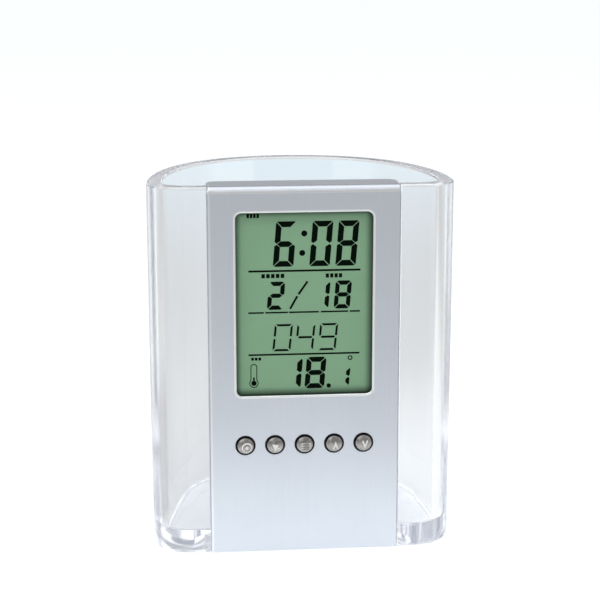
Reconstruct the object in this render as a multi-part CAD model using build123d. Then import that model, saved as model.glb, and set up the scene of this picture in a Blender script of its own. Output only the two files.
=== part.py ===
from build123d import *
import math
import os

# Pen holder clock: a thick clear D-shaped cup, with a display module standing in the gap in its front wall.
# Millimetres. +X to the right, +Y to the back, +Z up, origin under the middle of the whole object.

# Cup
cup_width = 90.0
cup_depth = 68.0
cup_height = 110.0
cup_wall = 4.6
floor_thickness = 6.0
front_corner_radius = 11.6
side_sweep = 25.6
rim_round = 0.9
base_round = 1.2
well_floor_round = 1.0

# Module casing
panel_width = 55.8
panel_thickness = 2.0
panel_foot = 0.3
board_front_space = 3.8
board_rear_space = 3.4
cover_thickness = 1.6
casing_side = 3.0
casing_end = 2.0
module_corner_round = 3.0
top_edge_round = 1.95
side_edge_round = 0.5
cover_edge_round = 0.5

# Fit of the module in the cup
side_clearance = 0.2
seat_clearance = 0.2
rear_clearance = 0.3
tongue_depth = 2.0
tongue_width = 2.0
tongue_proud = 1.2
tongue_stop = 3.0
groove_clearance = 0.25

# Display
window_side_margin = 8.05
window_top_margin = 7.7
window_low = 48.15
window_corner = 1.7
window_round = 0.4
cell_side_margin = 1.6
cell_top_margin = 1.1
cell_bottom_margin = 4.9
contact_ledge = 3.2
film_thickness = 0.2
glass_thickness = 0.8
reflector_inset = 0.6
frame_wall = 1.0
frame_web = 0.8
fit_clearance = 0.1
strip_thickness = 1.6
strip_end_margin = 3.0

# Buttons and their rubber pad
button_row_margin = 10.44
button_height = 33.2
button_hole_radius = 2.9
button_hole_round = 0.2
button_radius = 2.4
button_proud = 1.3
button_dome = 0.75
button_flange_radius = 3.6
button_flange_flat = 3.3
button_flange_gap = 1.9
button_flange_thickness = 0.8
button_stem_radius = 1.5
button_stem = 0.25
button_travel = 0.6
travel_reserve = 0.1
pad_thickness = 1.2
pad_margin = 1.2
pad_dome_radius = 2.3
pad_dome_top_radius = 1.7
rib_thickness = 1.0
rib_depth = 1.6

# Board and what it carries
board_side_clearance = 2.9
board_top_clearance = 4.8
board_thickness = 1.0
board_low = 24.8
chip_radius = 5.0
chip_height = 1.5
chip_z = 76.0
crystal_radius = 1.0
crystal_length = 6.0
crystal_inset = 9.0
crystal_z = 58.0
buzzer_radius = 6.5
buzzer_height = 2.6
buzzer_vent_radius = 1.0
buzzer_inset = 11.0
buzzer_z = 50.0
bead_radius = 1.2
bead_lead_radius = 0.25
bead_lead_length = 2.4
bead_inset = 6.0
bead_z = 28.0
capacitor_length = 2.0
capacitor_width = 1.2
capacitor_height = 0.8
capacitor_pitch = 3.4
capacitor_count = 4
capacitor_inset = 3.8
capacitor_z = 68.0

# Screws
screw_radius = 0.8
screw_clearance = 0.25
pilot_clearance = 0.02
screw_head_radius = 1.6
screw_head_height = 0.8
screw_head_clearance = 0.15
case_screw_length = 6.0
board_screw_length = 3.2
screw_slot_width = 0.4
screw_slot_depth = 0.3
boss_radius = 1.7
case_boss_side_inset = 2.0
case_boss_top_inset = 1.6
case_boss_low_inset = 1.9
board_boss_inset = 2.5
board_boss_high = 39.9
board_boss_low = 27.3

# Button cell, its cradle, contacts and door
cell_can_radius = 5.8
cell_can_height = 5.4
cell_cap_radius = 4.6
cell_cap_height = 0.7
cell_rear_clearance = 0.2
cradle_clearance = 0.3
cradle_wall = 1.0
cradle_slot = 5.6
contact_thickness = 0.3
contact_width = 4.0
contact_clearance = 0.12
contact_solder = 2.4
door_flange_radius = 7.8
door_flange_thickness = 0.8
door_seat_clearance = 0.1
door_side_clearance = 0.2
door_neck_radius = 6.6
door_neck_bore = 6.0
door_lug_radius = 7.4
door_lug_thickness = 0.7
door_lug_clearance = 0.2
door_lug_angle = 50.0
door_notch_angle = 62.0
door_turn = 60.0
coin_slot_length = 10.0
coin_slot_width = 1.6
coin_slot_depth = 0.45

# Openings in the back cover
vent_length = 7.0
vent_width = 1.0
vent_pitch = 2.4
vent_count = 3
reset_radius = 0.7
reset_inset = 8.0
reset_z = 40.0
lip_height = 1.0
lip_width = 1.0

# Cuts run past the faces that they pass through by this much
overrun = 1.0

# Places that follow from the sizes above
front_y = (button_proud - cup_depth) / 2
module_low = floor_thickness + seat_clearance
board_front = panel_thickness + board_front_space
board_rear = board_front + board_thickness
housing_depth = board_rear + board_rear_space
module_depth = housing_depth + cover_thickness
cavity_half = panel_width / 2 - casing_side
cavity_low = module_low + casing_end
cavity_high = cup_height - casing_end
board_half = cavity_half - board_side_clearance
board_high = cavity_high - board_top_clearance
crystal_x = board_half - crystal_inset
reset_x = board_half - reset_inset
buzzer_x = buzzer_inset - board_half
bead_x = bead_inset - board_half
board_boss_x = board_half - board_boss_inset
window_width = panel_width - 2 * window_side_margin
window_high = cup_height - window_top_margin
glass_half = window_width / 2 + cell_side_margin
glass_low = window_low - cell_bottom_margin
glass_high = window_high + cell_top_margin
glass_front = panel_thickness + film_thickness
rear_glass_front = glass_front + glass_thickness
reflector_front = rear_glass_front + glass_thickness
web_front = reflector_front + film_thickness
flange_front = panel_thickness + fit_clearance
stem_end = flange_front + button_flange_thickness + button_stem
pad_front = board_front - pad_thickness
pad_dome_front = stem_end + button_travel + travel_reserve
door_flange_front = module_depth - door_flange_thickness
door_seat_front = door_flange_front - door_seat_clearance
cell_rear = door_flange_front - cell_rear_clearance
cell_front = cell_rear - cell_can_height
cradle_radius = cell_can_radius + cradle_clearance
battery_z = cavity_low + fit_clearance + lip_width + door_lug_clearance + door_lug_radius
lug_rear = housing_depth - door_lug_clearance
lug_front = lug_rear - door_lug_thickness
cradle_rear = lug_front - cradle_clearance
case_screw_x = cavity_half - case_boss_side_inset
case_screw_zs = (cavity_low + case_boss_low_inset, cavity_high - case_boss_top_inset)
case_screw_places = [(side * case_screw_x, z) for side in (-1, 1) for z in case_screw_zs]
board_screw_zs = (board_boss_low, board_boss_high)
board_screw_places = [(side * board_boss_x, z) for side in (-1, 1) for z in board_screw_zs]
button_names = ["alarm_button", "snooze_button", "set_button", "up_button", "down_button"]
button_pitch = (panel_width - 2 * button_row_margin) / (len(button_names) - 1)
button_xs = [button_row_margin - panel_width / 2 + i * button_pitch for i in range(len(button_names))]


# A block between two sides, two depths behind the front face, and two heights
def block(left, right, front, back, low, high):
    centre = ((left + right) / 2, front_y + (front + back) / 2, (low + high) / 2)
    return Pos(*centre) * Box(right - left, back - front, high - low)


# A round bar along Y, between two depths behind the front face
def rod(radius, front, back, x, z):
    bar = Rot(90, 0, 0) * Cylinder(radius, back - front)
    return Pos(x, front_y + (front + back) / 2, z) * bar


# A round plate with a hole through it
def ring(outer, inner, front, back, x, z):
    return rod(outer, front, back, x, z) - rod(inner, front - overrun, back + overrun, x, z)


# A tapering round bar along Y, from its front radius to its rear radius
def cone(front_radius, rear_radius, front, back, x, z):
    bar = Rot(-90, 0, 0) * Cone(front_radius, rear_radius, back - front)
    return Pos(x, front_y + (front + back) / 2, z) * bar


# A block whose four edges along Y are round
def rounded_block(half_width, front, back, low, high, radius):
    plate = block(-half_width, half_width, front, back, low, high)
    return fillet(plate.edges().filter_by(Axis.Y), radius)


# An arc of a circle between two directions, in degrees
def arc(centre, radius, start, end):
    turns = [math.radians(a) for a in (start, (start + end) / 2, end)]
    points = [(centre[0] + radius * math.cos(a), centre[1] + radius * math.sin(a)) for a in turns]
    return ThreePointArc(*points)


# The cup's outline in plan, moved inwards: flat front, round corners, long side arcs and a back arc
def cup_outline(inset):
    half = cup_width / 2
    corner_x = half - front_corner_radius
    corner_y = front_y + front_corner_radius
    rear_y = front_y + cup_depth
    turn = math.radians(side_sweep)
    slope = 1 / math.tan(turn / 2)
    back_radius = (half * slope - (rear_y - corner_y)) / (slope - 1)
    side_radius = back_radius + (half - back_radius) / (1 - math.cos(turn))
    side_x = half - side_radius
    back_y = rear_y - back_radius
    face_y = front_y + inset
    right = [
        arc((corner_x, corner_y), front_corner_radius - inset, -90, 0),
        arc((side_x, corner_y), side_radius - inset, 0, side_sweep),
    ]
    back = arc((0, back_y), back_radius - inset, side_sweep, 180 - side_sweep)
    left = [
        arc((-side_x, corner_y), side_radius - inset, 180 - side_sweep, 180),
        arc((-corner_x, corner_y), front_corner_radius - inset, 180, 270),
    ]
    front = Line((-corner_x, face_y), (corner_x, face_y))
    return make_face([front] + right + [back] + left)


# The clear cup: outside, well, rounded rim and base, then the gap for the module with its two tongues
def clear_cup():
    cup = extrude(cup_outline(0), amount=cup_height)
    cup = fillet(cup.edges().group_by(Axis.Z)[0], base_round)
    well = extrude(cup_outline(cup_wall), amount=cup_height)
    well = fillet(well.edges().group_by(Axis.Z)[0], well_floor_round)
    cup = cup - Pos(0, 0, floor_thickness) * well
    cup = fillet(cup.faces().sort_by(Axis.Z)[-1].edges(), rim_round)
    gap_half = panel_width / 2 + side_clearance
    gap_rear = module_depth + rear_clearance
    top = cup_height + overrun
    cup = cup - block(-gap_half, gap_half, -overrun, gap_rear, floor_thickness, top)
    apron_rear = panel_thickness + side_clearance
    cup = cup - block(-gap_half, gap_half, -overrun, apron_rear, -overrun, top)
    tongue_top = cup_height - tongue_stop
    for side in (-1, 1):
        edge = side * gap_half
        tip = edge - side * tongue_proud
        sides = sorted((edge + side * overrun, tip))
        cup = cup + block(*sides, tongue_depth, tongue_depth + tongue_width, floor_thickness, tongue_top)
    return cup


# The whole module's outside, from its front face to its back, without the apron
def module_block():
    body = block(-panel_width / 2, panel_width / 2, 0, module_depth, module_low, cup_height)
    rear_edges = body.edges().filter_by(Axis.Z).group_by(Axis.Y)[-1]
    return fillet(rear_edges, module_corner_round)


# The front shell: outside with its apron, cavity, grooves, window and button holes, then what stands inside
def front_housing():
    half = panel_width / 2
    shell = module_block() & block(-half, half, 0, housing_depth, module_low, cup_height)
    shell = shell + block(-half, half, 0, panel_thickness, panel_foot, module_low)
    face_edges = shell.faces().sort_by(Axis.Y)[0].edges()
    shell = fillet(face_edges.filter_by(Axis.X).sort_by(Axis.Z)[-1], top_edge_round)
    face_edges = shell.faces().sort_by(Axis.Y)[0].edges()
    shell = fillet(face_edges.filter_by(Axis.Z), side_edge_round)
    shell = shell - block(-cavity_half, cavity_half, panel_thickness, module_depth, cavity_low, cavity_high)
    groove_bottom = half + side_clearance - tongue_proud - groove_clearance
    for side in (-1, 1):
        reach = sorted((side * (half + overrun), side * groove_bottom))
        front = tongue_depth - groove_clearance
        back = tongue_depth + tongue_width + groove_clearance
        top = cup_height - tongue_stop + groove_clearance
        shell = shell - block(*reach, front, back, module_low - overrun, top)
    shell = shell - rounded_block(
        window_width / 2, -overrun, panel_thickness + overrun, window_low, window_high, window_corner
    )
    opening = shell.faces().sort_by(Axis.Y)[0].inner_wires()[0]
    shell = fillet(opening.edges(), window_round)
    for x in button_xs:
        shell = shell - rod(button_hole_radius, -overrun, panel_thickness + overrun, x, button_height)
    circles = shell.faces().sort_by(Axis.Y)[0].edges().filter_by(GeomType.CIRCLE)
    shell = fillet([e for e in circles if is_button_rim(e)], button_hole_round)
    return shell + housing_inside()


# Tells a button hole's round edge from the window's corner arcs
def is_button_rim(edge):
    return abs(edge.radius - button_hole_radius) < fit_clearance


# What stands up inside the front shell, behind its front wall
def housing_inside():
    pieces = []
    for x, z in case_screw_places:
        pieces.append(screw_boss(panel_thickness, housing_depth, x, z))
    for x, z in board_screw_places:
        pieces.append(screw_boss(panel_thickness, board_front, x, z))
    rib_end = button_xs[-1] + button_flange_radius
    for side in (-1, 1):
        near = button_height + side * (button_flange_flat + fit_clearance)
        heights = sorted((near, near + side * rib_thickness))
        pieces.append(block(-rib_end, rib_end, panel_thickness, panel_thickness + rib_depth, *heights))
    cradle = ring(cradle_radius + cradle_wall, cradle_radius, panel_thickness, cradle_rear, 0, battery_z)
    slot = block(-cradle_slot / 2, cradle_slot / 2, 0, module_depth, battery_z, cavity_high)
    pieces.append(cradle - slot)
    return pieces


# A boss with its pilot hole, open at the rear
def screw_boss(front, rear, x, z):
    pilot = rod(screw_radius + pilot_clearance, front, rear + overrun, x, z)
    return rod(boss_radius, front, rear, x, z) - pilot


# The rear shell: plate, locating lip, screw seats, the door's bayonet opening, vents and the reset hole
def back_cover():
    half = panel_width / 2
    cover = module_block() & block(-half, half, housing_depth, module_depth, module_low, cup_height)
    cover = fillet(cover.faces().sort_by(Axis.Y)[-1].edges(), cover_edge_round)
    lip_half = cavity_half - fit_clearance
    low = cavity_low + fit_clearance
    high = cavity_high - fit_clearance
    lip = block(-lip_half, lip_half, housing_depth - lip_height, housing_depth, low, high)
    hollow = lip_half - lip_width
    lip = lip - block(-hollow, hollow, 0, module_depth, low + lip_width, high - lip_width)
    for x, z in case_screw_places:
        lip = lip - rod(boss_radius + screw_clearance, 0, module_depth, x, z)
    cover = cover + lip
    for x, z in case_screw_places:
        cover = cover - rod(screw_radius + screw_clearance, 0, module_depth + overrun, x, z)
        seat = module_depth - screw_head_height
        cover = cover - rod(screw_head_radius + screw_head_clearance, seat, module_depth + overrun, x, z)
    flange_seat = door_flange_radius + door_side_clearance
    cover = cover - rod(flange_seat, door_seat_front, module_depth + overrun, 0, battery_z)
    cover = cover - rod(door_neck_radius + door_side_clearance, 0, module_depth, 0, battery_z)
    notch_radius = door_lug_radius + door_side_clearance
    cover = cover - bayonet_sectors(notch_radius, 0, module_depth, door_notch_angle, -door_turn)
    for i in range(vent_count):
        z = buzzer_z + (i - (vent_count - 1) / 2) * vent_pitch
        cover = cover - vent(buzzer_x, z)
        z = bead_z + (i - (vent_count - 1) / 2) * vent_pitch
        cover = cover - vent(bead_x, z)
    return cover - rod(reset_radius, 0, module_depth + overrun, reset_x, reset_z)


# One vent slot through the back cover
def vent(x, z):
    ends = (x - vent_length / 2, x + vent_length / 2)
    return block(*ends, 0, module_depth + overrun, z - vent_width / 2, z + vent_width / 2)


# Two opposite sectors of a disc around the door's axis, centred on a turn from the level direction
def bayonet_sectors(radius, front, back, angle, turn):
    sectors = []
    for half_turn in (0, 180):
        wedge = circle_sector(radius, angle, turn + half_turn)
        sector = Rot(90, 0, 0) * extrude(wedge, amount=back - front)
        sectors.append(Pos(0, front_y + back, battery_z) * sector)
    return sectors


# A flat sector of a circle, from the middle outwards
def circle_sector(radius, angle, direction):
    start = math.radians(direction - angle / 2)
    end = math.radians(direction + angle / 2)
    middle = (start + end) / 2
    points = [(radius * math.cos(a), radius * math.sin(a)) for a in (start, middle, end)]
    edges = [Line((0, 0), points[0]), ThreePointArc(*points), Line(points[2], (0, 0))]
    return make_face(edges)


# The round door: flange with its coin slot, neck ring and two bayonet lugs
def battery_door():
    door = rod(door_flange_radius, door_flange_front, module_depth, 0, battery_z)
    neck = ring(door_neck_radius, door_neck_bore, lug_front, door_flange_front, 0, battery_z)
    lugs = [s - rod(door_neck_bore, 0, module_depth, 0, battery_z)
            for s in bayonet_sectors(door_lug_radius, lug_front, lug_rear, door_lug_angle, 0)]
    half = coin_slot_length / 2
    slot = block(-half, half, module_depth - coin_slot_depth, module_depth + overrun,
                 battery_z - coin_slot_width / 2, battery_z + coin_slot_width / 2)
    return door + neck + lugs - slot


# The display cell: face film, two glass sheets with the contact ledge at the bottom, and the reflector
def lcd_polariser():
    return block(-glass_half, glass_half, panel_thickness, glass_front, glass_low + contact_ledge, glass_high)


def lcd_front_glass():
    return block(-glass_half, glass_half, glass_front, rear_glass_front, glass_low, glass_high)


def lcd_rear_glass():
    low = glass_low + contact_ledge
    return block(-glass_half, glass_half, rear_glass_front, reflector_front, low, glass_high)


def lcd_reflector():
    half = glass_half - reflector_inset
    low = glass_low + contact_ledge + reflector_inset
    return block(-half, half, reflector_front, web_front, low, glass_high - reflector_inset)


# The frame round the cell, with a web behind it and a slot for the connector strip
def lcd_frame():
    inner = glass_half + fit_clearance
    outer = inner + frame_wall
    low = glass_low - fit_clearance
    high = glass_high + fit_clearance
    frame = block(-outer, outer, panel_thickness, board_front, low - frame_wall, high + frame_wall)
    frame = frame - block(-inner, inner, 0, web_front, low, high)
    frame = frame - block(-inner, inner, web_front + frame_web, module_depth, low + contact_ledge, high)
    return frame - block(-inner, inner, web_front - overrun, module_depth, low, low + contact_ledge)


def connector_strip():
    half = glass_half - strip_end_margin
    middle = glass_low + contact_ledge / 2
    ends = (middle - strip_thickness / 2, middle + strip_thickness / 2)
    return block(-half, half, rear_glass_front, board_front, *ends)


# One button: a domed cap, a flange with four flats behind the front wall, and a short stem
def button(x):
    shoulder = button_dome - button_proud
    stem = rod(button_radius, shoulder, flange_front + button_flange_thickness, x, button_height)
    ball = (button_radius**2 + button_dome**2) / (2 * button_dome)
    dome = Pos(x, front_y - button_proud + ball, button_height) * Sphere(ball)
    dome = dome & rod(button_radius, -button_proud, 0, x, button_height)
    flange_rear = flange_front + button_flange_thickness
    flange = rod(button_flange_radius, flange_front, flange_rear, x, button_height)
    side = (button_pitch - button_flange_gap) / 2
    ends = (x - side, x + side)
    heights = (button_height - button_flange_flat, button_height + button_flange_flat)
    flange = flange & block(*ends, flange_front, flange_rear, *heights)
    return dome + stem + flange + rod(button_stem_radius, flange_front, stem_end, x, button_height)


# The rubber pad: a sheet on the board with a hollow-backed dome behind each button
def keypad():
    reach = button_xs[-1] + pad_dome_radius + pad_margin
    rise = pad_dome_radius + pad_margin
    pad = block(-reach, reach, pad_front, board_front, button_height - rise, button_height + rise)
    for x in button_xs:
        pad = pad + cone(pad_dome_top_radius, pad_dome_radius, pad_dome_front, pad_front, x, button_height)
        pad = pad - rod(pad_dome_top_radius, pad_front, board_front + overrun, x, button_height)
    return pad


def circuit_board():
    board = block(-board_half, board_half, board_front, board_rear, board_low, board_high)
    for x, z in board_screw_places:
        board = board - rod(screw_radius + screw_clearance, 0, module_depth, x, z)
    return board


def controller_chip():
    ball = (chip_radius**2 + chip_height**2) / (2 * chip_height)
    blob = Pos(0, front_y + board_rear + chip_height - ball, chip_z) * Sphere(ball)
    return blob & rod(chip_radius, board_rear, board_rear + chip_height, 0, chip_z)


def quartz_crystal():
    can = Cylinder(crystal_radius, crystal_length)
    return Pos(crystal_x, front_y + board_rear + crystal_radius, crystal_z) * can


def buzzer():
    can = rod(buzzer_radius, board_rear, board_rear + buzzer_height, buzzer_x, buzzer_z)
    mouth = board_rear + buzzer_height / 2
    return can - rod(buzzer_vent_radius, mouth, module_depth, buzzer_x, buzzer_z)


# The temperature bead on two leads that come out of the board
def thermistor():
    centre = board_rear + bead_lead_length - bead_radius
    bead = Pos(bead_x, front_y + centre, bead_z) * Sphere(bead_radius)
    for side in (-1, 1):
        x = bead_x + side * bead_radius / 2
        bead = bead + rod(bead_lead_radius, board_rear, centre, x, bead_z)
    return bead


def chip_capacitors():
    places = [board_half - capacitor_inset - i * capacitor_pitch for i in range(capacitor_count)]
    rear = board_rear + capacitor_height
    half = capacitor_width / 2
    low = capacitor_z - capacitor_length / 2
    return [block(x - half, x + half, board_rear, rear, low, low + capacitor_length) for x in places]


# A screw along Y with its head at the rear
def screw(x, z, head_front, length):
    head_rear = head_front + screw_head_height
    head = rod(screw_head_radius, head_front, head_rear, x, z)
    half = screw_slot_width / 2
    bottom = head_rear - screw_slot_depth
    top = head_rear + overrun
    head = head - block(x - screw_head_radius, x + screw_head_radius, bottom, top, z - half, z + half)
    head = head - block(x - half, x + half, bottom, top, z - screw_head_radius, z + screw_head_radius)
    return head + rod(screw_radius, head_front - length, head_front, x, z)


def case_screws():
    return [screw(x, z, module_depth - screw_head_height, case_screw_length) for x, z in case_screw_places]


def board_screws():
    return [screw(x, z, board_rear, board_screw_length) for x, z in board_screw_places]


# A button cell: its can towards the door and its smaller cap towards the front
def button_cell():
    can = rod(cell_can_radius, cell_front + cell_cap_height, cell_rear, 0, battery_z)
    return can + rod(cell_cap_radius, cell_front, cell_rear, 0, battery_z)


# The strip that touches the can's rim: soldered behind the board, then bent back along the rim
def positive_contact():
    half = contact_width / 2
    touch = battery_z + cell_can_radius + contact_clearance
    shelf_rear = board_rear + contact_thickness
    strip = block(-half, half, board_rear, shelf_rear, touch, board_low + contact_solder)
    return strip + block(-half, half, board_rear, cradle_rear, touch, touch + contact_thickness)


# The leaf in front of the cell: soldered to the board, down past the cell, then to the front wall
def negative_contact():
    half = contact_width / 2
    leaf_rear = cell_front - contact_clearance
    leaf_front = leaf_rear - contact_thickness
    foot = battery_z - cell_cap_radius
    leaf = block(-half, half, leaf_front, leaf_rear, foot, board_low + contact_solder)
    leaf = leaf + block(-half, half, leaf_front, board_front, board_low, board_low + contact_solder)
    return leaf + block(-half, half, panel_thickness, leaf_rear, foot, foot + contact_thickness)


makers = {
    "clear_cup": clear_cup,
    "front_housing": front_housing,
    "back_cover": back_cover,
    "battery_door": battery_door,
    "lcd_polariser": lcd_polariser,
    "lcd_front_glass": lcd_front_glass,
    "lcd_rear_glass": lcd_rear_glass,
    "lcd_reflector": lcd_reflector,
    "lcd_frame": lcd_frame,
    "connector_strip": connector_strip,
    "keypad": keypad,
    "circuit_board": circuit_board,
    "controller_chip": controller_chip,
    "quartz_crystal": quartz_crystal,
    "buzzer": buzzer,
    "thermistor": thermistor,
    "chip_capacitors": chip_capacitors,
    "case_screws": case_screws,
    "board_screws": board_screws,
    "button_cell": button_cell,
    "positive_contact": positive_contact,
    "negative_contact": negative_contact,
}


def save(shape, name):
    if isinstance(shape, list):
        shape = Compound(children=shape)
    export_step(shape, f"parts/{name}.step")


os.makedirs("parts", exist_ok=True)
for name, make in makers.items():
    save(make(), name)
for name, x in zip(button_names, button_xs):
    save(button(x), name)
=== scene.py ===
import math

import bpy
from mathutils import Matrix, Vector


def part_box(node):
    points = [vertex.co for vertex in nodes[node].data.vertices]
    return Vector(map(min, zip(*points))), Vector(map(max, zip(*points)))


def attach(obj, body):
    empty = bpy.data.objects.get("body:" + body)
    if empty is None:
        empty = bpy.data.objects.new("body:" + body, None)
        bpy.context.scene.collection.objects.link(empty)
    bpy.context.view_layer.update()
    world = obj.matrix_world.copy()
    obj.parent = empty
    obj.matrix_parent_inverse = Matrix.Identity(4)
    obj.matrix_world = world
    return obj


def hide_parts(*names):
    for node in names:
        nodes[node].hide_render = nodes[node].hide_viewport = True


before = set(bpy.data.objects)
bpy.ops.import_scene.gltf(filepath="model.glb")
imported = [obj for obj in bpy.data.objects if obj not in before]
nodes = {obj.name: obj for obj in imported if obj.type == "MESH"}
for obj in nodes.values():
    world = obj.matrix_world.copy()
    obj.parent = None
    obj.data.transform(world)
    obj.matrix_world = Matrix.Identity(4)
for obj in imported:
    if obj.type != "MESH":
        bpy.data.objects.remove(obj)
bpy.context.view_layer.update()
mm = 0.001  # sizes are given in millimetres
print("frame:", len(nodes), "nodes")

# The camera stands in front, a little to the left and above the display; its turns are in degrees
view = {
    "place": (-42.78, -484.35, 178.66),
    "tiltDown": 12.682,
    "turnRight": 5.258,
    "roll": 0.037,
    "lens": 96.37,
    "sensor": 36.0,
}


def addCamera():
    data = bpy.data.cameras.new("camera")
    data.lens = view["lens"]
    data.sensor_width = view["sensor"]
    camera = bpy.data.objects.new("camera", data)
    bpy.context.scene.collection.objects.link(camera)
    camera.location = Vector(view["place"]) * mm
    turns = (90 - view["tiltDown"], view["roll"], -view["turnRight"])
    camera.rotation_euler = [math.radians(turn) for turn in turns]
    bpy.context.scene.camera = camera


addCamera()
print("camera placed")

noiseSpan = (0.3, 0.7)  # most values of a noise lie between these


# Node building: a Wire is a socket that can be used in a sum, and a Tree makes the nodes
class Wire:
    def __init__(self, tree, socket):
        self.tree = tree
        self.socket = socket

    def math(self, operation, first, second):
        return self.tree.node("Math", {"operation": operation}, {0: first, 1: second})

    def __add__(self, other):
        return self.math("ADD", self, other)

    def __radd__(self, other):
        return self.math("ADD", other, self)

    def __sub__(self, other):
        return self.math("SUBTRACT", self, other)

    def __rsub__(self, other):
        return self.math("SUBTRACT", other, self)

    def __mul__(self, other):
        return self.math("MULTIPLY", self, other)

    def __rmul__(self, other):
        return self.math("MULTIPLY", other, self)

    def absolute(self):
        return self.math("ABSOLUTE", self, 0)

    def root(self):
        return self.math("SQRT", self, 0)

    def above(self, limit):
        return self.math("GREATER_THAN", self, limit)

    def below(self, limit):
        return self.math("LESS_THAN", self, limit)

    def atLeast(self, other):
        return self.math("MAXIMUM", self, other)


class Tree:
    def __init__(self, owner):
        owner.use_nodes = True
        self.owner = owner
        self.nodes = owner.node_tree.nodes
        self.links = owner.node_tree.links

    # Makes a node from its type, its settings and the values or wires of its sockets
    def node(self, kind, settings=None, sockets=None, output=0):
        made = self.nodes.new("ShaderNode" + kind)
        for name, value in (settings or {}).items():
            setattr(made, name, value)
        for name, value in (sockets or {}).items():
            self.feed(made.inputs[name], value)
        return Wire(self, made.outputs[output])

    def feed(self, socket, value):
        if isinstance(value, Wire):
            self.links.new(value.socket, socket)
        else:
            socket.default_value = value

    # Sockets that share a name with others are given by their number
    def mixColour(self, share, first, second):
        settings = {"data_type": "RGBA"}
        return self.node("Mix", settings, {0: share, 6: first, 7: second}, output=2)

    # The place on the piece, stretched along each axis
    def place(self, stretch=(1, 1, 1)):
        here = self.node("TexCoord", output="Object")
        return self.node("Mapping", None, {"Vector": here, "Scale": stretch})

    def noise(self, scale, detail, roughness=0.5, stretch=(1, 1, 1)):
        sockets = {"Vector": self.place(stretch), "Scale": scale, "Detail": detail, "Roughness": roughness}
        return self.node("TexNoise", None, sockets)

    # Goes smoothly from the first value to the last between two limits
    def ramp(self, value, low, high, first=0.0, last=1.0):
        settings = {"interpolation_type": "SMOOTHSTEP"}
        return self.node("MapRange", settings, {0: value, 1: low, 2: high, 3: first, 4: last})

    # The same between two places in millimetres
    def slope(self, value, ends, first=0.0, last=1.0):
        low, high = ends
        return self.ramp(value, low * mm, high * mm, first, last)

    # The same over the values that a noise mostly has
    def spread(self, noise, first=0.0, last=1.0):
        return self.ramp(noise, *noiseSpan, first, last)

    def bump(self, height, strength, distance):
        return self.node("Bump", None, {"Height": height, "Strength": strength, "Distance": distance})


class Finish(Tree):
    def __init__(self, name, **sockets):
        super().__init__(bpy.data.materials.new(name))
        self.shader = self.nodes["Principled BSDF"]
        self.set(**sockets)

    # Socket names are written without their spaces
    def set(self, **sockets):
        names = {s.name.replace(" ", ""): s.name for s in self.shader.inputs}
        for name, value in sockets.items():
            if isinstance(value, tuple) and len(value) == 3:
                value = (*value, 1.0)  # a colour's fourth value
            self.feed(self.shader.inputs[names[name]], value)

    def axis(self, letter):
        here = self.node("TexCoord", output="Object")
        return self.node("SeparateXYZ", None, {0: here}, output=letter)


def paint(piece, finish):
    piece.data.materials.clear()
    piece.data.materials.append(finish.owner)


# Adds a share of the first to the rest of the second, for wires and numbers alike
def blend(first, second, share):
    return first * share + second * (1 - share)


# Modelling helpers
tolerance = 0.01  # millimetres
facing = 0.9  # a face looks along an axis where its normal has more than this of it


def alone(piece):
    if bpy.context.mode != "OBJECT":
        bpy.ops.object.mode_set(mode="OBJECT")
    bpy.ops.object.select_all(action="DESELECT")
    piece.select_set(True)
    bpy.context.view_layer.objects.active = piece


def finishEdit():
    bpy.ops.object.mode_set(mode="OBJECT")


# Selects by a test in code and goes into edit mode; edges also give the angle between their faces
def choose(piece, kind, test):
    alone(piece)
    mesh = piece.data
    for group in (mesh.vertices, mesh.edges, mesh.polygons):
        group.foreach_set("select", [False] * len(group))
    if kind == "FACE":
        for face in mesh.polygons:
            face.select = test(face.center, face.normal)
    elif kind == "EDGE":
        sides = {}
        for face in mesh.polygons:
            for key in face.edge_keys:
                sides.setdefault(key, []).append(face.normal)
        for edge in mesh.edges:
            normals = sides.get(edge.key, [])
            turn = math.degrees(normals[0].angle(normals[1])) if len(normals) == 2 else 0
            ends = [mesh.vertices[i].co for i in edge.vertices]
            edge.select = test(*ends, turn)
    else:
        for vertex in mesh.vertices:
            vertex.select = test(vertex.co)
    bpy.context.tool_settings.mesh_select_mode = [kind == word for word in ("VERT", "EDGE", "FACE")]
    bpy.ops.object.mode_set(mode="EDIT")


def extrude(shift):
    bpy.ops.mesh.extrude_region_move(TRANSFORM_OT_translate={"value": shift})


def near(first, second):
    return abs(first - second) < tolerance * mm


def newBlock(name, low, high):
    size = Vector(high) - Vector(low)
    bpy.ops.object.select_all(action="DESELECT")
    bpy.ops.mesh.primitive_cube_add(size=1, location=(Vector(low) + Vector(high)) / 2, scale=size)
    piece = bpy.context.object
    piece.name = name
    bpy.ops.object.transform_apply()
    return piece


def combine(piece, tool, operation):
    alone(piece)
    step = piece.modifiers.new("combine", "BOOLEAN")
    step.operation = operation
    step.solver = "EXACT"
    step.object = tool
    bpy.ops.object.modifier_apply(modifier=step.name)
    bpy.data.objects.remove(tool)


# The clear cup, a thick wall with its rim, base and well rounded, and the module's gap; turns in degrees
cup = {
    "wall": 4.6,
    "floor": 6.0,
    "cornerRadius": 11.6,
    "sideSweep": 25.6,
    "wellRound": (1.0, 7),  # radius and segments
    "baseRound": (1.2, 5),
    "rimRound": (0.9, 6),
    "gapRound": (0.06, 2),
    "sideClearance": 0.2,
    "gapRear": 12.1,
    "apronRear": 2.2,
    "tongueFront": 2.0,
    "tongueRear": 4.0,
    "tongueProud": 1.2,
    "tongueStop": 3.0,
    "arcStep": 2.5,
    "fewestSteps": 4,
    "sharpTurn": 60,
    "smoothTurn": 32,
    "overrun": 1.0,  # how far a cutting block reaches past the cup
}
cupLow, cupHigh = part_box("clear_cup")
panelLow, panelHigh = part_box("front_housing")
gapHalf = panelHigh.x + cup["sideClearance"] * mm


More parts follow.
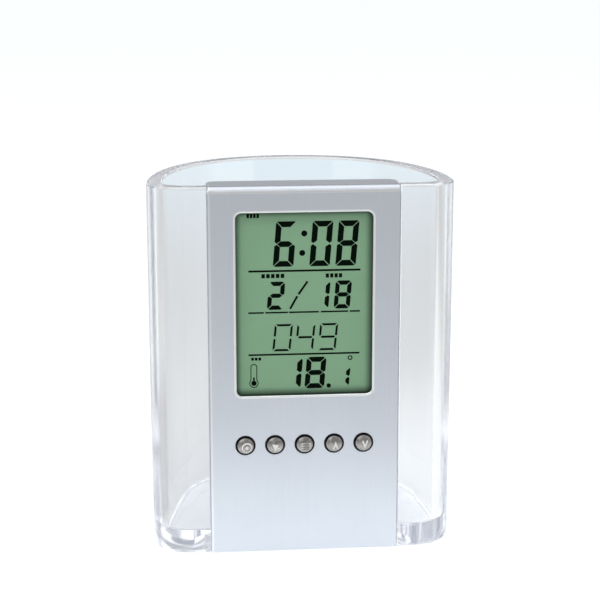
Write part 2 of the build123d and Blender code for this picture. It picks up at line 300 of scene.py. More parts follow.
# Centre and turn of each arc of the cup's outline, from the right end of its flat front
def outlineArcs():
    half = cupHigh.x
    corner = cup["cornerRadius"] * mm
    cornerY = cupLow.y + corner
    turn = math.radians(cup["sideSweep"])
    slope = 1 / math.tan(turn / 2)
    backRadius = (half * slope - (cupHigh.y - cornerY)) / (slope - 1)
    sideRadius = backRadius + (half - backRadius) / (1 - math.cos(turn))
    sideX = half - sideRadius
    backY = cupHigh.y - backRadius
    sweep = cup["sideSweep"]
    return [
        ((half - corner, cornerY), 90),
        ((sideX, cornerY), sweep),
        ((0, backY), 180 - 2 * sweep),
        ((-sideX, cornerY), sweep),
        ((corner - half, cornerY), 90),
    ]


def makeCup():
    corner = cup["cornerRadius"] * mm
    bpy.ops.object.select_all(action="DESELECT")
    start = (cupHigh.x - corner, cupLow.y, 0)
    bpy.ops.mesh.primitive_plane_add(size=mm, location=start)
    piece = bpy.context.object
    piece.name = "clearCup"
    bpy.ops.object.transform_apply()
    choose(piece, "VERT", lambda place: True)
    bpy.ops.mesh.merge(type="CENTER")  # one point, which the arcs draw out
    for (x, y), sweep in outlineArcs():
        steps = max(cup["fewestSteps"], round(sweep / cup["arcStep"]))
        turn = -math.radians(sweep)  # spin turns the other way about its axis
        bpy.ops.mesh.spin(steps=steps, angle=turn, center=(x, y, 0), axis=(0, 0, 1))
    choose(piece, "VERT", lambda place: near(place.y, cupLow.y))
    bpy.ops.mesh.edge_face_add()
    bpy.ops.mesh.select_all(action="SELECT")
    bpy.ops.mesh.edge_face_add()
    extrude((0, 0, cupHigh.z))
    bpy.ops.mesh.select_all(action="SELECT")
    bpy.ops.mesh.normals_make_consistent(inside=False)
    choose(piece, "FACE", lambda centre, normal: normal.z > facing)
    bpy.ops.mesh.inset(thickness=cup["wall"] * mm, use_even_offset=True)
    extrude((0, 0, cup["floor"] * mm - cupHigh.z))
    roundEdges(piece, "wellRound", lambda a, b: flat(a, b, cup["floor"] * mm))
    roundEdges(piece, "baseRound", lambda a, b: flat(a, b, 0))
    roundEdges(piece, "rimRound", lambda a, b: flat(a, b, cupHigh.z))
    combine(piece, gapTool(), "DIFFERENCE")
    roundEdges(piece, "gapRound", lambda a, b: upright(a, b, gapHalf, cupLow.y))
    alone(piece)
    bpy.ops.object.shade_smooth_by_angle(angle=math.radians(cup["smoothTurn"]))
    keepFlat(piece)
    return piece


# Shading normals that follow the large faces, so that flat walls show straight through them
def keepFlat(piece):
    alone(piece)
    step = piece.modifiers.new("keepFlat", "WEIGHTED_NORMAL")
    step.keep_sharp = True
    bpy.ops.object.modifier_apply(modifier=step.name)


def flat(first, second, height):
    return near(first.z, height) and near(second.z, height)


# An upright edge at either side of the gap
def upright(first, second, x, y):
    beside = all(near(abs(end.x), x) and near(end.y, y) for end in (first, second))
    return beside and not near(first.z, second.z)


# Rounds those sharp edges whose ends pass the test
def roundEdges(piece, rounding, test):
    radius, segments = cup[rounding]
    choose(piece, "EDGE", lambda a, b, turn: turn > cup["sharpTurn"] and test(a, b))
    bpy.ops.mesh.bevel(offset=radius * mm, segments=segments, profile=0.5, affect="EDGES")
    finishEdit()


# What is cut out of the cup's front: the module's gap over the floor slab, and the apron's over its front
def gapTool():
    front = cupLow.y - cup["overrun"] * mm
    rear = cupLow.y + cup["gapRear"] * mm
    apron = cupLow.y + cup["apronRear"] * mm
    floor = cup["floor"] * mm
    top = cupHigh.z + cup["overrun"] * mm
    tool = newBlock("gapTool", (-gapHalf, front, floor), (gapHalf, rear, top))
    choose(tool, "FACE", lambda centre, normal: True)
    bpy.ops.mesh.bisect(plane_co=(0, apron, 0), plane_no=(0, 1, 0))
    choose(tool, "FACE", lambda centre, normal: normal.z < -facing and centre.y < apron)
    extrude((0, 0, -floor - cup["overrun"] * mm))
    finishEdit()
    tongueFront = cupLow.y + cup["tongueFront"] * mm
    tongueRear = cupLow.y + cup["tongueRear"] * mm
    for side in (-1, 1):
        ends = sorted((side * (gapHalf + cup["overrun"] * mm), side * (gapHalf - cup["tongueProud"] * mm)))
        low = (ends[0], tongueFront, floor - cup["overrun"] * mm)
        high = (ends[1], tongueRear, cupHigh.z - cup["tongueStop"] * mm)
        combine(tool, newBlock("tongue", low, high), "DIFFERENCE")
    return tool


clearCup = makeCup()
print("cup modelled:", len(clearCup.data.polygons), "faces")


# Flat shapes, drawn as outlines in the plane of the panel and turned into thin plates
def flatPlate(name, outlines, y, thickness):
    curve = bpy.data.curves.new(name, "CURVE")
    curve.dimensions = "2D"
    curve.fill_mode = "BOTH"
    curve.extrude = thickness / 2 * mm
    for outline in outlines:
        spline = curve.splines.new("POLY")
        spline.points.add(len(outline) - 1)
        for point, (x, z) in zip(spline.points, outline):
            point.co = (x * mm, z * mm, 0, 1)
        spline.use_cyclic_u = True
    piece = bpy.data.objects.new(name, curve)
    bpy.context.scene.collection.objects.link(piece)
    alone(piece)
    bpy.ops.object.convert(target="MESH")
    piece = bpy.context.object
    piece.rotation_euler = (math.radians(90), 0, 0)
    piece.location = (0, y, 0)
    bpy.ops.object.transform_apply()
    return piece


def circle(x, z, radius, count=24):
    turns = [2 * math.pi * i / count for i in range(count)]
    return [(x + radius * math.cos(turn), z + radius * math.sin(turn)) for turn in turns]


def bar(left, right, low, high):
    return [(left, low), (right, low), (right, high), (left, high)]


# A bar between two points, with square ends
def stroke(start, end, width):
    along = Vector(end) - Vector(start)
    side = Vector((-along.y, along.x)).normalized() * width / 2
    corners = (Vector(start) - side, Vector(end) - side, Vector(end) + side, Vector(start) + side)
    return [tuple(corner) for corner in corners]


# How the segments' ends are cut, as shares of their weight, corner and gap
segmentShares = {"tip": 0.35, "tipRise": 0.8, "cutLong": 1.6, "cutShort": 0.6, "middleGap": 0.6}


# The seven segments of a numeral, upright, from its lower left corner
def segmentShapes(width, height, weight, gap, corner):
    mid = height / 2
    tip = segmentShares["tip"] * weight
    long = segmentShares["cutLong"] * corner
    short = segmentShares["cutShort"] * corner
    inset = segmentShares["middleGap"] * gap
    top = [
        (gap + long, height),
        (width - gap - long, height),
        (width - gap - short, height - short),
        (width - weight - gap, height - weight),
        (weight + gap, height - weight),
        (gap + short, height - short),
    ]
    upperLeft = [
        (0, height - gap - long),
        (short, height - gap - short),
        (weight, height - weight - gap),
        (weight, mid + weight / 2 + gap / 2),
        (tip, mid + gap),
        (0, mid + gap + segmentShares["tipRise"] * tip),
    ]
    middle = [
        (tip + gap, mid),
        (weight + inset, mid + weight / 2),
        (width - weight - inset, mid + weight / 2),
        (width - tip - gap, mid),
        (width - weight - inset, mid - weight / 2),
        (weight + inset, mid - weight / 2),
    ]

    def across(shape):
        return [(width - x, z) for x, z in shape]

    def under(shape):
        return [(x, height - z) for x, z in shape]

    return {
        "a": top,
        "b": across(upperLeft),
        "c": under(across(upperLeft)),
        "d": under(top),
        "e": under(upperLeft),
        "f": upperLeft,
        "g": middle,
    }


# The segments that each numeral lights, from the top one round to the middle one
litSegments = {
    "0": "abcdef", "1": "bc", "2": "abged", "3": "abgcd", "4": "fgbc",
    "5": "afgcd", "6": "afgcde", "7": "abc", "8": "abcdefg", "9": "abcdfg",
}


def numeral(text, left, low, width, height, weight, corner, gap=0.16, slant=0.08):
    shapes = segmentShapes(width, height, weight, gap, corner)
    return [[(left + x + slant * z, low + z) for x, z in shapes[s]] for s in litSegments[text]]


# What the display shows, in millimetres from its middle and from the table
display = {
    "thickness": 0.03,
    "time": {"low": 86.25, "width": 5.95, "height": 13.25, "weight": 1.66, "corner": 0.26},
    "timeNumerals": (("6", -9.05), ("0", 1.52), ("8", 9.08)),
    "colon": ((0.09, 95.9), (-0.5, 90.2)),
    "colonRadius": 0.86,
    "date": {"low": 73.55, "width": 4.75, "height": 8.3, "weight": 1.25, "corner": 0.42},
    "dateNumerals": (("2", -10.85), ("1", 2.35), ("8", 8.62)),
    "slashes": (((1.05, 81.8), (-1.6, 78.0)), ((-1.95, 77.45), (-4.05, 73.7))),
    "slashWidth": 0.62,
    "day": {
        "low": 61.1, "width": 5.3, "height": 8.1, "weight": 0.62, "corner": 0.0, "gap": 0.34, "slant": 0.1,
    },
    "dayNumerals": (("0", -9.3), ("4", -2.7), ("9", 3.95)),
    "heat": {"low": 49.65, "width": 5.8, "height": 9.5, "weight": 1.5, "corner": 0.5},
    "heatNumerals": (("1", -6.85), ("8", 0.1)),
    "heatPoint": (7.3, 50.35),
    "heatPointRadius": 0.66,
    "tenth": {"low": 50.0, "width": 3.6, "height": 5.9, "weight": 1.15, "corner": 0.3},
    "tenthNumerals": (("1", 9.65),),
    "degree": (13.6, 58.65),
    "degreeRadii": (0.72, 0.4),
    "rules": (  # low, high, then the left and right of each piece
        (84.72, 85.28, ((-16.1, 16.45),)),
        (72.46, 72.92, ((-16.2, -11.7), (-11.25, -4.65), (-4.35, 4.35), (4.95, 12.95), (13.4, 16.4))),
        (59.85, 60.35, ((-16.25, 16.35),)),
    ),
    "marks": (  # left, low, height, count and pitch
        (-16.5, 100.6, 1.25, 4, 0.95),
        (-12.35, 82.95, 1.2, 5, 1.4),
        (6.35, 82.8, 1.2, 4, 1.28),
        (-15.45, 58.45, 0.85, 3, 1.05),
    ),
    "markShare": 0.72,
    "stem": {"x": -14.72, "low": 51.55, "high": 57.4, "half": 0.98, "line": 0.24},
    "bulb": 1.35,
    "bulbSteps": 24,
    "core": 0.78,
    "columnShare": 2.3,
}


# A capsule outline with a bulb at its foot, drawn from its left shoulder
def stemOutline(x, low, high, half, bulb):
    side = math.asin(half / bulb)
    points = []
    steps = display["bulbSteps"]
    for i in range(steps + 1):  # the bulb, from its left shoulder round its foot
        turn = math.pi / 2 + side + (2 * math.pi - 2 * side) * i / steps
        points.append((x + bulb * math.cos(turn), low + bulb * math.sin(turn)))
    steps = steps // 2
    for i in range(steps + 1):  # the round top, from the right
        turn = math.pi * i / steps
        points.append((x + half * math.cos(turn), high - half + half * math.sin(turn)))
    return points


# The thermometer: an outline with an inner one in it, a round core and a short column on it
def stemOutlines(x, low, high, half, line):
    bulb, core = display["bulb"], display["core"]
    return [
        circle(x, low, core),
        stemOutline(x, low, high, half, bulb),
        stemOutline(x, low, high - line, half - line, bulb - line),
        bar(x - line, x + line, low + core, low + display["columnShare"] * core),
    ]


def displayOutlines():
    shapes = []
    for row in ("time", "date", "day", "heat", "tenth"):
        for text, left in display[row + "Numerals"]:
            shapes += numeral(text, left, **display[row])
    for x, z in display["colon"]:
        shapes.append(circle(x, z, display["colonRadius"]))
    shapes.append(circle(*display["heatPoint"], display["heatPointRadius"]))
    shapes += [stroke(start, end, display["slashWidth"]) for start, end in display["slashes"]]
    for low, high, spans in display["rules"]:
        shapes += [bar(left, right, low, high) for left, right in spans]
    for left, low, height, count, pitch in display["marks"]:
        for i in range(count):
            start = left + i * pitch
            shapes.append(bar(start, start + display["markShare"] * pitch, low, low + height))
    for radius in display["degreeRadii"]:
        shapes.append(circle(*display["degree"], radius))
    return shapes + stemOutlines(**display["stem"])


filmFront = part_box("lcd_polariser")[0].y
segmentY = filmFront - display["thickness"] / 2 * mm
displaySegments = flatPlate("displaySegments", displayOutlines(), segmentY, display["thickness"])
print("display drawn:", len(displaySegments.data.polygons), "faces")


# Raised marks on the five buttons, drawn from each button's middle and laid on its dome
symbols = {
    "proud": 0.16,
    "thickness": 0.4,
    "shift": (0.35, -0.4),
    "ring": (1.52, 1.16),
    "dot": 0.46,
    "flag": ((-1.25, 0.95), (0.65, 0.6), (-0.35, -1.5)),
    "flagRing": (0.7, -0.75, 0.55, 0.22),  # place and two radii
    "barHalf": 1.4,
    "barRise": 0.72,
    "barWidth": 0.42,
    "chevron": (1.25, 0.95, 0.45),
    "ringPoints": 32,
    "dotPoints": 20,
    "holePoints": 12,
    "step": 0.25,
}


# An outline with a point at least at every step, so that it can follow a dome
def fine(outline):
    points = []
    for start, end in zip(outline, outline[1:] + outline[:1]):
        parts = max(1, math.ceil(math.dist(start, end) / symbols["step"]))
        points += [tuple(a + (b - a) * i / parts for a, b in zip(start, end)) for i in range(parts)]
    return points


# A chevron that points up, from half its height, half its width and the width of its arms
def chevron(rise, half, width):
    notch = rise - width * math.hypot(2 * rise, half) / half
    outside = [(-half, -rise), (0, rise), (half, -rise)]
    return outside + [(half - width, -rise), (0, notch), (width - half, -rise)]


def symbolShapes():
    up = chevron(*symbols["chevron"])
    down = [(x, -z) for x, z in up]
    rings = [circle(0, 0, radius, symbols["ringPoints"]) for radius in symbols["ring"]]
    dot = circle(0, 0, symbols["dot"], symbols["dotPoints"])
    x, z, outer, inner = symbols["flagRing"]
    flagRing = [circle(x, z, outer, symbols["dotPoints"]), circle(x, z, inner, symbols["holePoints"])]
    half, rise, width = symbols["barHalf"], symbols["barRise"], symbols["barWidth"]
    bars = [fine(bar(-half, half, z - width / 2, z + width / 2)) for z in (-rise, 0, rise)]
    return {
        "alarm_button": rings + [dot],
        "snooze_button": [fine(list(symbols["flag"]))] + flagRing,
        "set_button": bars,
        "up_button": [fine(up)],
        "down_button": [fine(down)],
    }


# The buttons' domed caps
cap = {
    "radius": 2.4,
    "dome": 0.75,
    "metalEdge": 0.04,  # the metal ends and the painted shade on the cap's side starts this far in front of the dome's foot
    "metal": ((0.29, 0.285, 0.275, 1), (0.42, 0.41, 0.395, 1)),
    # painted shade on the caps' sides
    "plastic": (0.03, 0.03, 0.031, 1),
    "metallic": 0.85,
    "roughness": (0.26, 0.36),
}


# Moves a plate's points along Y, so that it follows the dome behind it
def layOnDome(piece, x, z, radius):
    for vertex in piece.data.vertices:
        reach = (vertex.co.x - x) ** 2 + (vertex.co.z - z) ** 2
        vertex.co.y += radius - math.sqrt(radius * radius - reach)


def makeSymbols():
    made = {}
    for node, shapes in symbolShapes().items():
        low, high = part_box(node)
        x = (low.x + high.x) / 2
        z = (low.z + high.z) / 2
        capRadius, rise = cap["radius"] * mm, cap["dome"] * mm
        dome = (capRadius ** 2 + rise ** 2) / (2 * rise)
        dx, dz = symbols["shift"]
        placed = [[(px + dx + x / mm, pz + dz + z / mm) for px, pz in shape] for shape in shapes]
        y = low.y + (symbols["thickness"] / 2 - symbols["proud"]) * mm
        piece = flatPlate(node.replace("_button", "Symbol"), placed, y, symbols["thickness"])
        layOnDome(piece, x, z, dome)
        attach(piece, node)
        made[node] = piece
    return made


buttonSymbols = makeSymbols()
print("button symbols:", len(buttonSymbols))


# The clear plastic is softer at the cup's two front corners, and has a faint grey painted shadow low on the
# left one
plastic = {
    "colour": (0.935, 0.945, 0.955, 1),
    "cornerColour": (0.62, 0.62, 0.64, 1),
    "cornerX": (39.5, 42.5),
    "cornerY": (-25, -21),
    "cornerZ": (8, 11),
    "greyX": (-0.1, 0.1),
    "greyZ": (40, 65),
    "haze": (0.4, 0.7, 0.03, 0.05),  # the noise's limits, then the roughness at each
    "cornerHaze": 0.14,
}


def clearPlastic():
    made = Finish("clearPlastic", TransmissionWeight=1.0, IOR=1.49)
    x, z = made.axis("X"), made.axis("Z")
    corner = made.slope(x.absolute(), plastic["cornerX"]) * made.slope(z, plastic["cornerZ"])
    corner = corner * made.slope(made.axis("Y"), plastic["cornerY"], 1.0, 0.0)
    paintedShadow = corner * made.slope(x, plastic["greyX"], 1.0, 0.0) * made.slope(z, plastic["greyZ"], 1.0, 0.0)
    made.set(BaseColor=made.mixColour(paintedShadow, plastic["colour"], plastic["cornerColour"]))
    ripple = made.noise(scale=28.0, detail=2.0)
    made.set(Normal=made.bump(ripple, strength=0.05, distance=0.8 * mm))
    haze = made.ramp(made.noise(scale=400.0, detail=4.0), *plastic["haze"])
    made.set(Roughness=haze + plastic["cornerHaze"] * corner)
    return made


# A satin silver coat outside, with painted shade, near black and not metallic, inside the window and the
# button holes
window = {"half": 19.85, "low": 48.15, "high": 102.3, "corner": 1.7, "lip": (0.58, 0.82)}
coat = {
    "windowDepth": 0.42,
    "holeDepth": 0.3,
    "half": 24.0,
    "low": 28.0,
    "middle": (40.0, 41.0),
    "high": 103.0,
    "soft": 0.15,  # half the width of a line's fading ends
    "underEdge": (1.15, 2.05),
    "underPale": 0.8,
    "leftEdge": (0.35, 0.85),
    "leftPale": 0.6,
    "topEdge": (-1.0, 0.95),
    "topDepth": (-1.0, 1.8),
    "topDark": 0.27,
    "rightEdge": (-1.0, 0.3),
    "rightDark": 0.3,
    "sideSkin": 0.04,
    "sideDepth": (0.35, 1.7),
    "sideRise": (8, 40),
    "sideDark": 0.85,
}
silver = {
    "metallic": 0.88,
    "dark": (0.685, 0.73, 0.795, 1),
    "light": (0.72, 0.765, 0.83, 1),
    # the painted highlight's tone
    "pale": (0.97, 0.985, 1.0, 1),
    "shade": (0.0, 0.0, 0.0, 1),
    # the painted shade inside the window and the button holes
    "plastic": (0.012, 0.012, 0.014, 1),
    "roughness": (0.385, 0.405),
    "streak": (2600, 900, 30),
    "grainShare": 0.75,
}


# Painted shade: one outside the window and the button holes, nought in them past the given depth
def outsideRecessShade(made):
    x, y, z = (made.axis(letter) for letter in "XYZ")
    upper = made.slope(z, coat["middle"])
    depth = blend(coat["windowDepth"], coat["holeDepth"], upper) * mm
    inRecessShade = (y - panelLow.y).above(depth)
    inner = x.absolute().below(coat["half"] * mm)
    return 1 - inRecessShade * inner * z.below(coat["high"] * mm) * z.above(coat["low"] * mm)


# One on the painted highlight round the window's lip, by the distance from its rounded outline
def lipHighlightShare(made):
    x, z = made.axis("X"), made.axis("Z")
    corner = window["corner"]
    middle = (window["low"] + window["high"]) / 2
    sides = [(x, window["half"] - corner), (z - middle * mm, (window["high"] - window["low"]) / 2 - corner)]
    beyond = [(place.absolute() - half * mm).atLeast(0) for place, half in sides]
    reach = beyond[0] * beyond[0] + beyond[1] * beyond[1]
    distance = reach.root() - corner * mm
    return made.slope(distance, window["lip"], 1.0, 0.0)


# One between two places, with soft ends
def band(made, place, ends):
    soft = coat["soft"]
    low, high = [(end - soft, end + soft) for end in ends]
    return made.slope(place, low) * made.slope(place, high, 1.0, 0.0)


# Painted highlight: the coat is made bright round the window, under the rounded top edge and along the left
# edge
def paintedHighlightShare(made):
    under = band(made, panelHigh.z - made.axis("Z"), coat["underEdge"])
    left = band(made, made.axis("X") - panelLow.x, coat["leftEdge"])
    return lipHighlightShare(made).atLeast(coat["underPale"] * under).atLeast(coat["leftPale"] * left)


# Painted shade: the coat is made darker on the rounded top edge itself, on the right edge and at the front
# of both sides
def paintedShadeShare(made):
    x, y, z = (made.axis(letter) for letter in "XYZ")
    depth = y - panelLow.y
    top = band(made, panelHigh.z - z, coat["topEdge"]) * band(made, depth, coat["topDepth"])
    right = band(made, panelHigh.x - x, coat["rightEdge"])
    side = x.absolute().above(panelHigh.x - coat["sideSkin"] * mm) * band(made, depth, coat["sideDepth"])
    side = side * made.slope(z, coat["sideRise"])
    edge = (coat["topDark"] * top).atLeast(coat["rightDark"] * right)
    return edge.atLeast(coat["sideDark"] * side)


def silverCasing(name, coated):
    made = Finish(name)
    streak = made.noise(scale=1.0, detail=3.0, roughness=0.6, stretch=silver["streak"])
    cloud = made.noise(scale=45.0, detail=2.0)
    colour = made.mixColour(made.spread(blend(streak, cloud, 0.5)), silver["dark"], silver["light"])
    metallic = silver["metallic"]
    if coated:
        # Painted shade, near black and not metallic, inside the window and the button holes
        share = outsideRecessShade(made)
        colour = made.mixColour(paintedHighlightShare(made), colour, silver["pale"])
        colour = made.mixColour(paintedShadeShare(made), colour, silver["shade"])
        colour = made.mixColour(share, silver["plastic"], colour)
        metallic = metallic * share
    made.set(BaseColor=colour)
    made.set(Metallic=metallic)
    made.set(Roughness=made.spread(streak, *silver["roughness"]))
    grain = made.noise(scale=5200.0, detail=2.0)
    height = blend(grain, streak, silver["grainShare"])
    made.set(Normal=made.bump(height, strength=0.08, distance=0.03 * mm))
    return made


# Painted shade: the film is darker near the window's edge, most at the right and at the bottom
film = {
    "left": 1.9,
    "right": 2.3,
    "low": 2.4,
    "high": 1.6,
    "start": -0.3,
    "least": 0.22,  # the light left at the edge
    "shade": (0.012, 0.03, 0.018, 1),
    "greens": ((0.205, 0.372, 0.227, 1), (0.227, 0.396, 0.250, 1)),
}


def displayFilm():
    made = Finish("displayFilm", Roughness=0.42, SpecularIORLevel=0.3)
    x, z = made.axis("X"), made.axis("Z")
    distances = {
        "left": x + window["half"] * mm,
        "right": window["half"] * mm - x,
        "low": z - window["low"] * mm,
        "high": window["high"] * mm - z,
    }
    light = 1.0
    for side, distance in distances.items():
        light = made.slope(distance, (film["start"], film[side]), film["least"], 1.0) * light
    grain = made.noise(scale=2200.0, detail=2.0)
    cloud = made.noise(scale=90.0, detail=2.0)
    green = made.mixColour(made.spread(blend(grain, cloud, 0.5)), *film["greens"])
    made.set(BaseColor=made.mixColour(light, film["shade"], green))
    return made


# The display's segments are near black, and the buttons' marks are off-white
inkTones = ((0.0015, 0.0035, 0.002, 1), (0.004, 0.008, 0.005, 1))
symbolTones = ((0.74, 0.73, 0.70, 1), (0.90, 0.89, 0.87, 1))


def displayInk():
    made = Finish("displayInk", SpecularIORLevel=0.0, Roughness=0.9)
    cloud = made.noise(scale=700.0, detail=2.0)
    made.set(BaseColor=made.mixColour(cloud, *inkTones))
    return made


# The domes are metallised; their sides carry painted shade, near black and not metallic, for the gap round
# them
def buttonMetal():
    made = Finish("buttonMetal")
    grain = made.noise(scale=1500.0, detail=3.0, roughness=0.6)
    metal = made.mixColour(made.spread(grain), *cap["metal"])
    side = made.axis("Y").above(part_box("set_button")[0].y + (cap["dome"] - cap["metalEdge"]) * mm)
    made.set(BaseColor=made.mixColour(side, metal, cap["plastic"]))
    made.set(Metallic=cap["metallic"] * (1 - side))
    made.set(Roughness=made.spread(grain, *cap["roughness"]))
    made.set(Normal=made.bump(grain, strength=0.12, distance=0.03 * mm))
    return made


def symbolPaint():
    made = Finish("symbolPaint", Roughness=0.4)
    speck = made.noise(scale=2500.0, detail=2.0)
    made.set(BaseColor=made.mixColour(speck, *symbolTones))
    return made


# Moulded pieces: finish, dark and light tone and roughness, and for the chip its grain and bump too
moulded = {
    "lcd_frame": ("whitePlastic", (0.72, 0.72, 0.70, 1), (0.82, 0.82, 0.80, 1), 0.5),
    "keypad": ("greyRubber", (0.30, 0.31, 0.32, 1), (0.38, 0.39, 0.40, 1), 0.7),
    "buzzer": ("blackPlastic", (0.015, 0.015, 0.015, 1), (0.03, 0.03, 0.03, 1), 0.45),
    "thermistor": ("beadResin", (0.02, 0.02, 0.02, 1), (0.035, 0.035, 0.04, 1), 0.3),
    "chip_capacitors": ("ceramic", (0.42, 0.32, 0.20, 1), (0.55, 0.44, 0.29, 1), 0.5),
    "controller_chip": ("blackEpoxy", (0.01, 0.01, 0.012, 1), (0.02, 0.02, 0.022, 1), 0.22, 500.0, 0.3),
}
mouldedSwing = (-0.05, 0.07)  # how far the roughness goes to each side
chipEnds = (0.55, 0.65)  # the capacitors' ends are metallised this far from their middle


def mouldedPlastic(name, dark, light, roughness, scale=900.0, bump=0.12):
    made = Finish(name)
    grain = made.noise(scale=scale, detail=3.0)
    cloud = made.noise(scale=60.0, detail=2.0)
    made.set(BaseColor=made.mixColour(made.spread(blend(grain, cloud, 0.6)), dark, light))
    made.set(Roughness=made.spread(grain, *(roughness + swing for swing in mouldedSwing)))
    made.set(Normal=made.bump(grain, strength=bump, distance=0.04 * mm))
    return made


def metalliseEnds(made):
    low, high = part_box("chip_capacitors")
    away = (made.axis("Z") - (low.z + high.z) / 2).absolute()
    made.set(Metallic=made.slope(away, chipEnds))


# Metal finishes: dark and light tone, and how finely the brushing lies along each axis
metals = {
    "brightSteel": ((0.58, 0.58, 0.57, 1), (0.74, 0.74, 0.72, 1), (900, 900, 6000)),
    "contactMetal": ((0.66, 0.60, 0.46, 1), (0.78, 0.72, 0.58, 1), (400, 400, 5000)),
    "reflectorFilm": ((0.66, 0.68, 0.66, 1), (0.8, 0.82, 0.8, 1), (3000, 3000, 3000)),
}
metalRoughness = (0.2, 0.34)
metalOf = {
    "brightSteel": ("quartz_crystal", "case_screws", "board_screws", "button_cell"),
    "contactMetal": ("positive_contact", "negative_contact"),
    "reflectorFilm": ("lcd_reflector",),
}


def brushedMetal(name, dark, light, stretch):
    made = Finish(name, Metallic=1.0)
    lines = made.noise(scale=1.0, detail=4.0, roughness=0.6, stretch=stretch)
    made.set(BaseColor=made.mixColour(made.spread(lines), dark, light))
    made.set(Roughness=made.spread(lines, *metalRoughness))
    made.set(Normal=made.bump(lines, strength=0.15, distance=0.02 * mm))
    return made


# Green lacquer with lighter tracks under it, and bare pads
board = {
    "lacquer": ((0.012, 0.11, 0.045, 1), (0.03, 0.20, 0.08, 1)),
    "pad": (0.62, 0.55, 0.40, 1),
    "trackScale": 420.0,
    "trackEdge": (0.06, 0.12),
    "padScale": 650.0,
    "padEdge": (0.70, 0.72),
}


def boardLacquer():
    made = Finish("boardLacquer", Roughness=0.35, CoatWeight=0.3)
    sockets = {"Vector": made.place(), "Scale": board["trackScale"]}
    tracks = made.node("TexVoronoi", {"feature": "DISTANCE_TO_EDGE"}, sockets)
    line = made.ramp(tracks, *board["trackEdge"], 1.0, 0.0)
    green = made.mixColour(line, *board["lacquer"])
    pads = made.ramp(made.noise(scale=board["padScale"], detail=0.0), *board["padEdge"])
    made.set(BaseColor=made.mixColour(pads, green, board["pad"]))
    made.set(Normal=made.bump(line, strength=0.3, distance=0.03 * mm))
    return made


# Thin dark and pale layers along the strip
strip = {"scale": 900.0, "edge": (0.4, 0.6), "tones": ((0.02, 0.02, 0.02, 1), (0.55, 0.30, 0.28, 1))}


def connectorRubber():
    made = Finish("connectorRubber", Roughness=0.6)
    settings = {"wave_type": "BANDS", "bands_direction": "X"}
    layers = made.node("TexWave", settings, {"Vector": made.place(), "Scale": strip["scale"]})
    made.set(BaseColor=made.mixColour(made.ramp(layers, *strip["edge"]), *strip["tones"]))
    return made


glass = {"colour": (0.93, 0.97, 0.95), "smear": (0.4, 0.7, 0.01, 0.05)}


def displayGlass():
    made = Finish("displayGlass", TransmissionWeight=1.0, IOR=1.52, BaseColor=glass["colour"])
    smear = made.noise(scale=120.0, detail=3.0)
    made.set(Roughness=made.ramp(smear, *glass["smear"]))
    return made


def paintAll():
    finishes = {node: mouldedPlastic(*values) for node, values in moulded.items()}
    metalliseEnds(finishes["chip_capacitors"])
    for name, tones in metals.items():
        finishes |= dict.fromkeys(metalOf[name], brushedMetal(name, *tones))
    finishes |= dict.fromkeys(("back_cover", "battery_door"), silverCasing("silverCasing", False))
    finishes |= dict.fromkeys(("lcd_front_glass", "lcd_rear_glass"), displayGlass())
    finishes |= dict.fromkeys(buttonSymbols, buttonMetal())
    finishes["front_housing"] = silverCasing("silverFront", True)
    finishes["lcd_polariser"] = displayFilm()
    finishes["connector_strip"] = connectorRubber()
    finishes["circuit_board"] = boardLacquer()
    for node, finish in finishes.items():
        paint(nodes[node], finish)
    white = symbolPaint()
    for piece in buttonSymbols.values():
        paint(piece, white)
    paint(displaySegments, displayInk())
    paint(clearCup, clearPlastic())


paintAll()
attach(clearCup, "cup")
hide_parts("clear_cup")
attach(displaySegments, "clock_module")
clearCup.visible_shadow = False  # lamps shine through the clear plastic
print("finishes made")


# The studio, in metres: a pale floor, soft lamps, and a world that is white to the camera
studio = {
    "floorSize": 60.0,
    "floorDrop": 0.00005,
    "floorColour": (0.55, 0.55, 0.55),
    "floorLift": 0.6,  # glow to the camera
    "pool": (0.05, 0.19, 0.66),  # glow in gloss round the cup: its start, its end and its strength
    "through": 0.15,  # glow through the clear plastic, with the parts that add to it
    "throughTint": (0.93, 0.97, 1.0, 1),
    "front": (-0.075, -0.036, 0.52),
    "beside": (-0.03, 0.05, 0.27),
    "besideDepth": (0.04, 0.2),
    "far": (0.22, 0.85, 0.36),
    "farTint": (0.69, 0.89, 1.0, 1),
    "worldFill": 0.75,  # the world's strength for light, then in gloss, then through the clear plastic
    "glossFront": 0.28,
    "glossBack": 0.3,
    "glossUp": 0.38,
    "backSpan": (0.1, 0.5),
    "upSpan": (0.1, 0.6),
    "worldThrough": 1.45,
    "worldTint": (0.915, 0.925, 1.0, 1),
    "lamps": (  # name, place, size and power
        ("keyLamp", (-0.75, -0.8, 1.0), 1.1, 5.0),
        ("topLamp", (0.0, -0.05, 0.55), 0.55, 1.5),
        ("sideLamp", (0.95, -0.45, 0.6), 0.7, 1.0),
    ),
    "aim": (0, 0, 0.05),
    "bounces": 40,  # light goes round in the clear walls many times
}


# The shares of rays from the camera, of rays through the clear plastic and of other reflected rays
def rayShares(tree):
    names = ("Is Camera Ray", "Is Glossy Ray", "Is Transmission Ray")
    camera, glossy, through = [tree.node("LightPath", output=name) for name in names]
    through = through * (1 - camera)
    return camera, through, glossy * (1 - camera) * (1 - through)


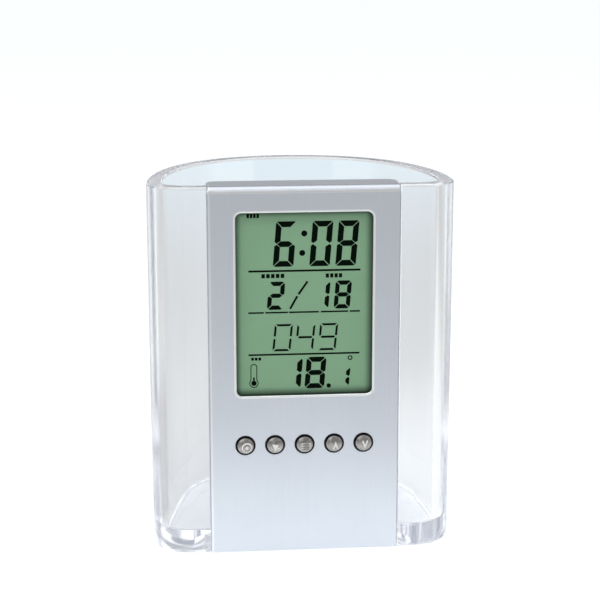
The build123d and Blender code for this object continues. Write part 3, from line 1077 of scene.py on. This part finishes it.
def makeFloor():
    bpy.ops.object.select_all(action="DESELECT")
    bpy.ops.mesh.primitive_plane_add(size=studio["floorSize"], location=(0, 0, -studio["floorDrop"]))
    floor = bpy.context.object
    floor.name = "floor"
    made = Finish("floorPaint", Roughness=0.9, SpecularIORLevel=0.0, BaseColor=studio["floorColour"])
    camera, through, gloss = rayShares(made)
    reach = made.node("VectorMath", {"operation": "LENGTH"}, {0: made.place()}, output="Value")
    x, y = made.axis("X"), made.axis("Y")
    pool = made.ramp(reach, *studio["pool"], 0.0)
    front = made.ramp(y, *studio["front"][:2], studio["front"][2], 0.0)
    beside = made.ramp(x, *studio["beside"][:2], 0.0, studio["beside"][2])
    beside = beside * made.ramp(y, *studio["besideDepth"], 1.0, 0.0)
    far = made.ramp(y, *studio["far"][:2])
    seen = studio["through"] + front + beside + far * studio["far"][2]
    glow = camera * studio["floorLift"] + gloss * pool + through * seen
    tint = made.mixColour(far * through, studio["throughTint"], studio["farTint"])
    made.set(EmissionColor=made.node("VectorMath", {"operation": "SCALE"}, {0: tint, "Scale": glow}))
    made.set(EmissionStrength=1.0)
    paint(floor, made)


def makeWorld():
    world = bpy.data.worlds.new("studioWorld")
    bpy.context.scene.world = world
    tree = Tree(world)
    direction = tree.node("TexCoord", output="Generated")
    back = tree.node("SeparateXYZ", None, {0: direction}, output="Y")
    rise = tree.node("SeparateXYZ", None, {0: direction}, output="Z")
    level = tree.ramp(back, *studio["backSpan"], studio["glossFront"], studio["glossBack"])
    up = tree.ramp(rise, *studio["upSpan"]) * tree.ramp(back, *studio["backSpan"], 1.0, 0.0)
    seenInGloss = blend(studio["glossUp"], level, up)
    camera, through, gloss = rayShares(tree)
    strength = camera + through * studio["worldThrough"] + gloss * seenInGloss
    strength = strength + (1 - camera - through - gloss) * studio["worldFill"]
    tree.feed(tree.nodes["Background"].inputs["Strength"], strength)
    tint = tree.mixColour(through, (1, 1, 1, 1), studio["worldTint"])
    tree.feed(tree.nodes["Background"].inputs["Color"], tint)


def makeLamps():
    for name, place, size, power in studio["lamps"]:
        data = bpy.data.lights.new(name, "AREA")
        data.size = size
        data.energy = power
        lamp = bpy.data.objects.new(name, data)
        bpy.context.scene.collection.objects.link(lamp)
        lamp.location = place
        aim = Vector(studio["aim"]) - Vector(place)
        lamp.rotation_euler = aim.to_track_quat("-Z", "Y").to_euler()
        lamp.visible_camera = False


makeFloor()
makeWorld()
makeLamps()
scene = bpy.context.scene
scene.view_settings.view_transform = "Standard"
for kind in ("max_bounces", "glossy_bounces", "transmission_bounces"):
    setattr(scene.cycles, kind, studio["bounces"])
print("studio lit")
